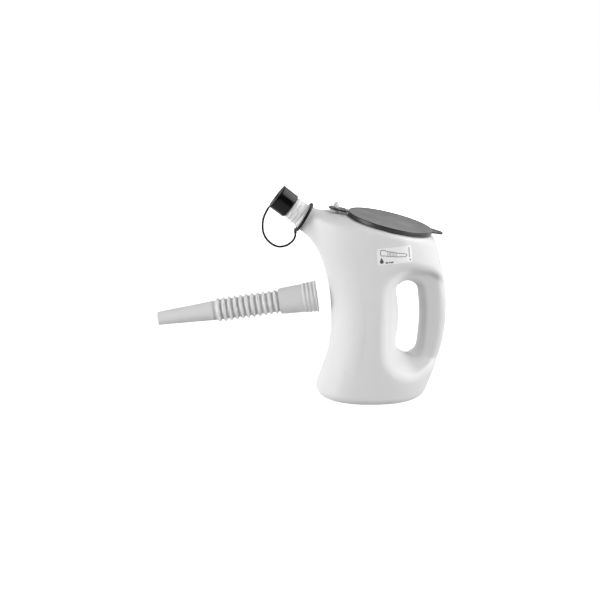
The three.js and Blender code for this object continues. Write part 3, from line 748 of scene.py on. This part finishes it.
def jug_shell():
    shell = solid("jug_shell", *surface_of(blown_body, SHELL_CELL, FIELD_LOW, FIELD_HIGH))
    inside = lambda x, y, z: jug_field(x, y, z) + WALL
    hollow = solid("hollow", *surface_of(inside, HOLLOW_CELL, FIELD_LOW, FIELD_HIGH))
    rim_low, rim_high = -SEAT_DROP - 1.2, RIM_HEIGHT - SEAT_DROP
    rim_in, rim_out = MOUTH_RADIUS - 1, MOUTH_RADIUS + RIM_WALL
    rim = softened([(rim_in, rim_low), (rim_out, rim_low), (rim_out, rim_high), (rim_in, rim_high)],
                   0.7, closed=True)
    shelf = TONGUE_TOP - TONGUE_THICK - 0.3
    boss = [(1, shelf - 8), (STUD_BOSS, shelf - 8), (STUD_BOSS, shelf - 0.6),
            (STUD_BOSS - 0.6, shelf), (1, shelf)]
    joined(shell, [
        neck_finish(),
        solid("rim", *turned(rim, 128, closed=True), on_seat),
        solid("boss", *turned(boss, 48), on_stud),
        level_marks(),
        parting_line(),
    ])
    chamfer = BORE + LIP_ROUND
    bore = [(2, -WALL - 12), (BORE, -WALL - 12), (BORE, LIP - LIP_ROUND), (chamfer, LIP),
            (chamfer, LIP + 2), (2, LIP + 2)]
    return joined(shell, [
        hollow,
        rod(MOUTH_RADIUS, -MOUTH_DEPTH, 6, 128, on_seat),
        solid("bore", *turned(bore, 64), on_neck),
        rod(STUD_HOLE, shelf - STUD_DEPTH - 0.3, shelf + 1, 32, on_stud),
    ], "DIFFERENCE")


jug = finished(jug_shell(), hdpe, 30)
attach(jug, "jug")
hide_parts("jug_body")


# ---- Label -------------------------------------------------------------------------------------

def label_ink(u, v):
    """Where the label is printed, u and v millimetres from its middle.

    There are a drawing of the spout, a drop, and rows of small bars.
    """
    def line(a, b, c, d, half):
        run, rise = c - a, d - b
        share = np.clip(((u - a) * run + (v - b) * rise) / (run**2 + rise**2), 0, 1)
        return np.hypot(u - a - share * run, v - b - share * rise) - half
    outline = [(-16.8, 6.6), (-15.9, 8.2), (-11, 7.9), (-9.8, 6.6), (0.5, 4.2), (2, 3.4),
               (12.5, 1), (15.1, 0), (15.3, -1.6), (14.2, -2.7), (2, -1.6), (-9.6, 0.4),
               (-11.2, 0.9), (-16, 1.2), (-17, 2.8), (-16.8, 6.6)]
    thin = [line(*p, *q, 0.4) for p, q in zip(outline[:-1], outline[1:])]
    thin += [line(x, 0.6 - 0.17 * (x + 9.6), x, 6.3 - 0.23 * (x + 9.8), 0.26)
             for x in np.arange(-8, 3, 1.7)]
    drop = np.hypot(u + 16.2, v + 6.3) - 2.4
    tip = np.maximum(np.abs(u + 16.2) * 0.9 + (v + 5.7) * 0.44 - 2.1, -v - 5.7)
    bold = [drop, tip, line(-10.8, -7.9, -9, -7.9, 0.9), line(-7, -7.9, -6.3, -7.9, 0.75),
            line(-4.6, -7.9, -2.8, -7.9, 0.9), line(18.9, -7.4, 19.1, -7.4, 0.95)]
    bold += [line(18.2, -4 + 2.2 * k, 18.7, -3.4 + 2.2 * k, 0.56 + 0.12 * (k % 2))
             for k in range(6)]
    solid_ink, line_ink = (np.clip(0.5 - np.minimum.reduce(d) / 0.3, 0, 1) for d in (bold, thin))
    return np.maximum(solid_ink, 0.95 * line_ink)


def label_sheet():
    """A thin sticker with round corners that follows the front of the jug."""
    columns, lines = 124, 64
    u, v = np.meshgrid(np.linspace(-1, 1, columns), np.linspace(-1, 1, lines), indexing="ij")
    half_u, half_v = LABEL_WIDTH / 2, LABEL_HEIGHT / 2
    near_end = (np.abs(u) * half_u - half_u + LABEL_CORNER) / LABEL_CORNER
    inset = LABEL_CORNER * (1 - np.sqrt(1 - np.clip(near_end, 0, 1) ** 2))
    du, dv = u * half_u, v * half_v
    dv = dv * (half_v - inset) / half_v
    x = LABEL_X + du * cos(LABEL_TURN) - dv * sin(LABEL_TURN)
    z = LABEL_Z + du * sin(LABEL_TURN) + dv * cos(LABEL_TURN)
    outer, inner = front_of(x, z, LABEL_FACE), front_of(x, z, LABEL_BACK)
    index = np.arange(columns * lines).reshape(columns, lines)
    corners = [index[:-1, :-1], index[1:, :-1], index[1:, 1:], index[:-1, 1:]]
    face = np.stack(corners, -1).reshape(-1, 4)
    count = columns * lines
    border = np.concatenate([index[:, 0], index[-1, 1:], index[-2::-1, -1], index[0, -2:0:-1]])
    ahead = np.roll(border, -1)
    edge = np.stack([border, border + count, ahead + count, ahead], -1)
    points = np.concatenate([outer.reshape(-1, 3), inner.reshape(-1, 3)])
    made = solid("label", points, np.concatenate([face, face[:, ::-1] + count, edge]).tolist())
    ink = made.data.attributes.new("ink", "FLOAT", "POINT")
    values = np.concatenate([label_ink(du, dv).ravel(), np.zeros(count)])
    ink.data.foreach_set("value", values.astype(np.float32))
    return made


label = finished(label_sheet(), label_film)
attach(label, "jug")
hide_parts("level_label")


# ---- Lid, its hinge, strap and stud --------------------------------------------------------------

def lid_cover():
    """The snap lid with its raised edge, skirt, inner plug ring and pull tab."""
    plug = MOUTH_RADIUS - 0.4
    top = [(2, -0.35), (LID_RADIUS - 3.2, -0.35), (LID_RADIUS - 2.6, 0), (LID_RADIUS - 0.2, 0),
           (LID_RADIUS, -0.9), (LID_RADIUS, -LID_HEIGHT), (LID_RADIUS - LID_SKIRT, -LID_HEIGHT),
           (LID_RADIUS - LID_SKIRT, -LID_TOP), (plug, -LID_TOP), (plug, -PLUG_DEPTH + 1.2),
           (plug - 0.35, -PLUG_DEPTH), (plug - PLUG_WALL, -PLUG_DEPTH),
           (plug - PLUG_WALL, -LID_TOP), (2, -LID_TOP)]
    cover = solid("lid_cover", *turned(softened(top, 0.5), 160), on_seat)
    root, centre = LID_RADIUS - 1.4, TAB_REACH - TAB_TIP
    outline = lambda inset: tongue(root, TAB_ROOT, centre, TAB_TIP, inset, 28)
    base = -TAB_THICK - 0.2
    layers = [(0.7, base), (0.2, base + 0.15), (0, base + 0.6), (0, -0.8), (0.2, -0.35), (0.7, -0.2),
              (1.3, -0.25), (1.7, -0.75), (2.0, -0.95)]
    return joined(cover, [solid("tab", *stacked(outline, layers), on_seat)])


def fold(x, half, height):
    """A low rounded ridge across the strap."""
    profile = softened([(0.2, -half), (0.88, -half), (0.88, half), (0.2, half)], 0.4)
    points, faces = turned(profile, 24)
    points = np.stack([points[:, 0] + x, points[:, 2], points[:, 1] + height], 1)
    return solid("fold", points, faces, on_seat)


def strap_plate():
    """The fixed end of the lid's moulding, with two folds and the stud's hole."""
    centre = TONGUE_END + TONGUE_HALF
    outline = lambda inset: tongue(TONGUE_START - 0.6 * inset, TONGUE_HALF, centre, TONGUE_HALF,
                                   inset, 28)
    base = TONGUE_TOP - TONGUE_THICK
    layers = [(0.5, base), (0.1, base + 0.2), (0, base + 0.5), (0, TONGUE_TOP - 0.5),
              (0.15, TONGUE_TOP - 0.12), (0.5, TONGUE_TOP), (1.3, TONGUE_TOP),
              (1.6, TONGUE_TOP - 0.15), (1.8, TONGUE_TOP - 0.45), (2.1, TONGUE_TOP - 0.5)]
    plate = solid("strap_plate", *stacked(outline, layers), on_seat)
    joined(plate, [fold(x, TONGUE_HALF - 0.5, TONGUE_TOP) for x in FOLDS])
    hole = rod(STUD_HOLE, base - 1, TONGUE_TOP + 1, 40, on_stud)
    return joined(plate, [hole], "DIFFERENCE")


def hinge_web():
    """A thin web, thinnest at its middle, with a rounded ridge along its top."""
    columns = 25
    across = np.linspace(TONGUE_START + 0.1, -LID_RADIUS - 0.1, columns)
    share = np.linspace(-1, 1, columns)
    rings = []
    for y in np.linspace(-HINGE_HALF, HINGE_HALF, 61):
        fade = min(1.0, 4 - 4 * abs(y) / HINGE_HALF)
        ridge = np.sqrt(np.clip(1 - (share / 0.75) ** 2, 0, 1)) * fade
        top = HINGE_Z - 0.25 * (1 - share**2) + 1.1 * ridge
        low = np.full(columns, HINGE_Z - 0.8) + 0.15 * (1 - share**2)
        upper, lower = (np.stack([across, np.full(columns, y), z], 1) for z in (top, low))
        rings.append(np.concatenate([upper, lower[::-1]]))
    return solid("hinge_web", *loft(rings), on_seat)


lid = finished(lid_cover(), lid_plastic, 35)
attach(lid, "lid")
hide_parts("lid")

plate = finished(strap_plate(), lid_plastic, 35)
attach(plate, "jug")
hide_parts("lid_strap")

web = finished(hinge_web(), lid_plastic, 50)
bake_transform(web)
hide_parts("lid_hinge_web")

stud_foot, stud_top = TONGUE_TOP - TONGUE_THICK - STUD_DEPTH, TONGUE_TOP + STUD_RISE
stud_seat = TONGUE_TOP + 0.3
stud_profile = softened([(0.4, stud_foot), (2, stud_foot), (2, stud_seat), (STUD_HEAD, stud_seat),
                         (STUD_HEAD, stud_seat + 2), (3.3, stud_seat + 4.2), (1.6, stud_top),
                         (0.3, stud_top)], 0.7)
stud = solid("stud", *turned(stud_profile, 40), on_stud)
finished(stud, nylon)
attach(stud, "jug")
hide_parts("strap_stud")


# ---- Screw cap, its liner and tether -------------------------------------------------------------

def cap_shell():
    """The cap, smooth outside, with a thread inside and a button that holds the tether's disc."""
    segments = 96
    roof = softened([(1, CAP_ROOF), (CAP_BORE, CAP_ROOF), (CAP_BORE, 36.8)], 0.6)[:-1]
    inside = rows([(CAP_BORE, 37.4), (CAP_BORE, 20)], 0.5)
    profile = np.concatenate([
        roof,
        inside,
        softened([(CAP_BORE, 19.8), (14.3, CAP_LOW), (15.7, CAP_LOW), (CAP_OPEN, 19.8)], 0.35),
        rows([(CAP_OPEN, 19.9), (CAP_END, 38.4)], 1.5),
        softened([(CAP_END, 38.6), (16.35, CAP_TOP), (15.2, CAP_TOP), (2.2, CAP_TOP), (2.2, 41.4),
                  (3.4, 41.4), (3.4, BUTTON_TOP), (0.6, BUTTON_TOP)], 0.35)[1:],
    ])
    thread = helix(**CAP_THREAD)
    wave = lambda angle, at: thread(angle, at) if at < 37 else 0
    rings, threaded = (turned(profile, segments, wave=w)[0].reshape(len(profile), segments, 3)
                       for w in (None, wave))
    split = len(roof) + len(inside)
    rings[:split] = threaded[:split]
    return solid("cap_shell", *loft(rings), on_neck)


cap = finished(cap_shell(), cap_plastic)
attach(cap, "cap")
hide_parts("screw_cap")

liner_profile = softened([(0.5, LINER_LOW), (LINER_RADIUS, LINER_LOW), (LINER_RADIUS, LINER_HIGH),
                          (0.5, LINER_HIGH)], 0.3)
liner = finished(solid("liner", *turned(liner_profile, 64), on_neck), foam)
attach(liner, "cap")
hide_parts("cap_liner")


def block(name, inner, outer, half, layers):
    """A block on the neck, left of its axis; each (inset, height) layer is inset on three sides."""
    outline = lambda inset: np.array([(outer + inset, -half + inset), (inner, -half + inset),
                                      (inner, half - inset), (outer + inset, half - inset)])
    return solid(name, *stacked(outline, layers), on_neck)


def tether_disc():
    """The disc that the cap turns in, with the tab and bead where the strap meets it."""
    profile = softened([(DISC_HOLE, DISC_LOW), (16.7, DISC_LOW), (DISC_RADIUS, 40.25),
                        (DISC_RADIUS, 40.9), (16.7, DISC_HIGH), (15.7, DISC_HIGH), (15.3, 40.85),
                        (5.2, 40.85), (4.8, DISC_HIGH), (DISC_HOLE, DISC_HIGH)], 0.25, closed=True)
    whole = solid("disc", *turned(profile, 96, closed=True), on_neck)
    tab = block("tab", -15, -17.5, 1.6, [(0.3, DISC_LOW), (0, 40.2), (0, 40.8), (0.3, 41.05)])
    bead = block("bead", -17.1, -18.1, 1.4, [(0.4, 39.1), (0, 39.4), (0, 41.2), (0.4, 41.5)])
    return joined(whole, [tab, bead])


disc = finished(tether_disc(), rubber)
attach(disc, "tether_end")
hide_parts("tether_disc")


def ring_and_lug():
    """The loose ring, hanging a little askew on the neck, with the lug that the strap leaves."""
    profile = softened([(RING_INNER, -RING_HALF), (RING_OUTER, -RING_HALF), (RING_OUTER, RING_HALF),
                        (RING_INNER, RING_HALF)], 0.8, closed=True)

    def leaned(p):
        x, y, z = p.T
        across = x * cos(RING_TILT) - z * sin(RING_TILT)
        up = x * sin(RING_TILT) + z * cos(RING_TILT) + RING_HEIGHT
        return on_neck(np.stack([across, y, up], 1))

    ring = solid("ring", *turned(profile, 96, closed=True), leaned)
    octagon = np.array([(0.8, -1), (1, -0.8), (1, 0.8), (0.8, 1), (-0.8, 1), (-1, 0.8), (-1, -0.8),
                        (-0.8, -1)])
    outline = lambda inset: octagon * (LUG_HALF - inset)
    layers = [(0.6, -3.3), (0.2, -3.1), (0, -2.7), (0, 2.7), (0.3, 3.1), (0.6, 3.3)]
    lug = solid("lug", *stacked(outline, layers), lambda p: p + LUG_AT)
    return joined(ring, [lug])


ring = finished(ring_and_lug(), rubber)
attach(ring, "tether")
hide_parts("tether_ring")


# ---- Spout ---------------------------------------------------------------------------------------

def spout_socket():
    """The threaded end: ribs outside over the thread inside, then a taper to the bellows."""
    outside = [(20.9, 0), (20.9, 2.2), (19.6, 2.9), (19.4, 3.9), (20.4, 5.3), (20.4, 6.5),
               (19.2, 7.6), (19.0, 9.2), (20.1, 10.5), (20.1, 11.6), (18.8, 12.8), (18.7, 14.2),
               (19.6, 15.5), (19.6, 16.6), (18.5, 17.8), (18.4, 20.5), (18.3, 23), (17.3, 42),
               (16.9, 46.0), (16.9, 48.3)]
    inside = [(r - SPOUT_WALL, h) for r, h in
              [(16.9, 48.3), (16.9, 46.0), (17.3, 42), (18.3, 23), (18.4, 20), (19.4, 2.6),
               (20.8, 0)]]
    profile = softened(outside + inside, 0.7, closed=True, steps=3)
    return solid("socket", *turned(profile, 96, closed=True), on_spout)


def spout_bellows():
    """Sharp-crested folds, with a cuff at each end."""
    root, rise = BELLOWS_ROOT, BELLOWS_CREST - BELLOWS_ROOT
    pitch = (BELLOWS_END - BELLOWS_START - 2 * CUFF) / CRESTS
    fold_shape = [(0, 0), (0.12, 0.05), (0.42, 0.9), (0.47, 0.99), (0.5, 1), (0.53, 0.99),
                  (0.58, 0.9), (0.88, 0.05)]
    outside = [(BELLOWS_CREST, BELLOWS_START), (15.6, BELLOWS_START + 0.5)]
    for n in range(CRESTS):
        outside += [(root + rise * w, BELLOWS_START + CUFF + (n + t) * pitch) for t, w in fold_shape]
    outside += [(root, BELLOWS_END - CUFF), (12.95, BELLOWS_END - 0.5), (root, BELLOWS_END)]
    outside = np.array(outside)
    profile = np.concatenate([outside, outside[::-1] - (SPOUT_WALL, 0)])
    return solid("bellows", *turned(profile, 88, closed=True), on_spout)


def spout_nozzle():
    """The tapered tip, with a low bead at its lip."""
    outside = [(12.9, 133.9), (12.9, 136.9), (12.5, 139.5), (9.05, 203), (9.1, 204.6),
               (8.9, 206.4), (8.75, 208.2)]
    inside = [(r - SPOUT_WALL, h) for r, h in outside[::-1] if h != 204.6]
    profile = softened(outside + inside, 0.6, closed=True, steps=3)
    return solid("nozzle", *turned(profile, 72, closed=True), on_spout)


socket = finished(spout_socket(), spout_pe, 50)
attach(socket, "spout")
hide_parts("spout_socket")

bellows = finished(spout_bellows(), spout_pe, 60)
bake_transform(bellows)
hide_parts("spout_bellows")

nozzle = finished(spout_nozzle(), spout_pe, 50)
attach(nozzle, "spout_tip")
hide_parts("spout_nozzle")


# ---- Studio --------------------------------------------------------------------------------------

def studio_sweep():
    """A pale floor that curves up into a wall behind the set."""
    radius, depth, width = 1.6, 3.0, 16.0
    profile = [(-12.0, 0.0), (depth, 0.0)]
    profile += [(depth + radius * sin(a), radius * (1 - cos(a)))
                for a in np.linspace(0.05, pi / 2, 24)]
    profile.append((depth + radius, 5.0))
    mesh = bpy.data.meshes.new("floor")
    points = [(side * width, y, z) for y, z in profile for side in (-1, 1)]
    faces = [(2 * k, 2 * k + 1, 2 * k + 3, 2 * k + 2) for k in range(len(profile) - 1)]
    mesh.from_pydata(points, [], faces)
    mesh.shade_smooth()
    made = bpy.data.objects.new("floor", mesh)
    bpy.context.scene.collection.objects.link(made)
    paper = bpy.data.materials.new("floor_paper")
    paper.use_nodes = True
    shader = paper.node_tree.nodes["Principled BSDF"]
    shader.inputs["Base Color"].default_value = (0.93, 0.93, 0.93, 1)
    shader.inputs["Roughness"].default_value = 0.9
    shader.inputs["Emission Color"].default_value = (1, 1, 1, 1)
    shader.inputs["Emission Strength"].default_value = 0.8
    mesh.materials.append(paper)
    return made


def softbox(name, place, aim, size, power):
    """A rectangular area light at place, turned towards aim."""
    light = bpy.data.lights.new(name, "AREA")
    light.shape = "RECTANGLE"
    light.size, light.size_y = size
    light.energy = power
    made = bpy.data.objects.new(name, light)
    made.location = place
    made.rotation_mode = "QUATERNION"
    made.rotation_quaternion = (Vector(aim) - Vector(place)).to_track_quat("-Z", "Y")
    bpy.context.scene.collection.objects.link(made)
    return made


sweep = studio_sweep()
sweep.visible_diffuse = False
softbox("left_softbox", (-1.6, -0.5, 0.25), (0.05, 0, 0.1), (1.2, 1.0), 31)
softbox("right_softbox", (1.15, -0.1, 1.2), (0.0, 0, 0.2), (1.7, 0.4), 9)
softbox("sheen_softbox", (1.0, 0.15, 1.15), (0.0, 0, 0.2), (1.7, 0.8), 20).visible_diffuse = False
softbox("front_softbox", (1.5, -0.85, 0.2), (0.08, 0, 0.1), (0.8, 0.7), 18)
softbox("back_softbox", (-0.2, 1.7, 0.9), (0, 0, 0.1), (1.3, 1.0), 9).visible_glossy = False
softbox("top_softbox", (-0.1, -0.35, 1.5), (0, 0, 0.1), (0.9, 0.7), 2)

world = bpy.data.worlds.new("studio")
bpy.context.scene.world = world
world.use_nodes = True
tree = world.node_tree
background = tree.nodes["Background"]
sky = tree.nodes.new("ShaderNodeTexCoord").outputs["Generated"]
height = tree.nodes.new("ShaderNodeSeparateXYZ")
tree.links.new(sky, height.inputs["Vector"])
upper = ranged(tree, height.outputs["Z"], 0.0, 0.45, 0, 1)
tree.links.new(blended(tree, upper, grey(0.26), grey(0.14)), background.inputs["Color"])
background.inputs["Strength"].default_value = 1.0
bpy.context.scene.view_settings.view_transform = "Standard"
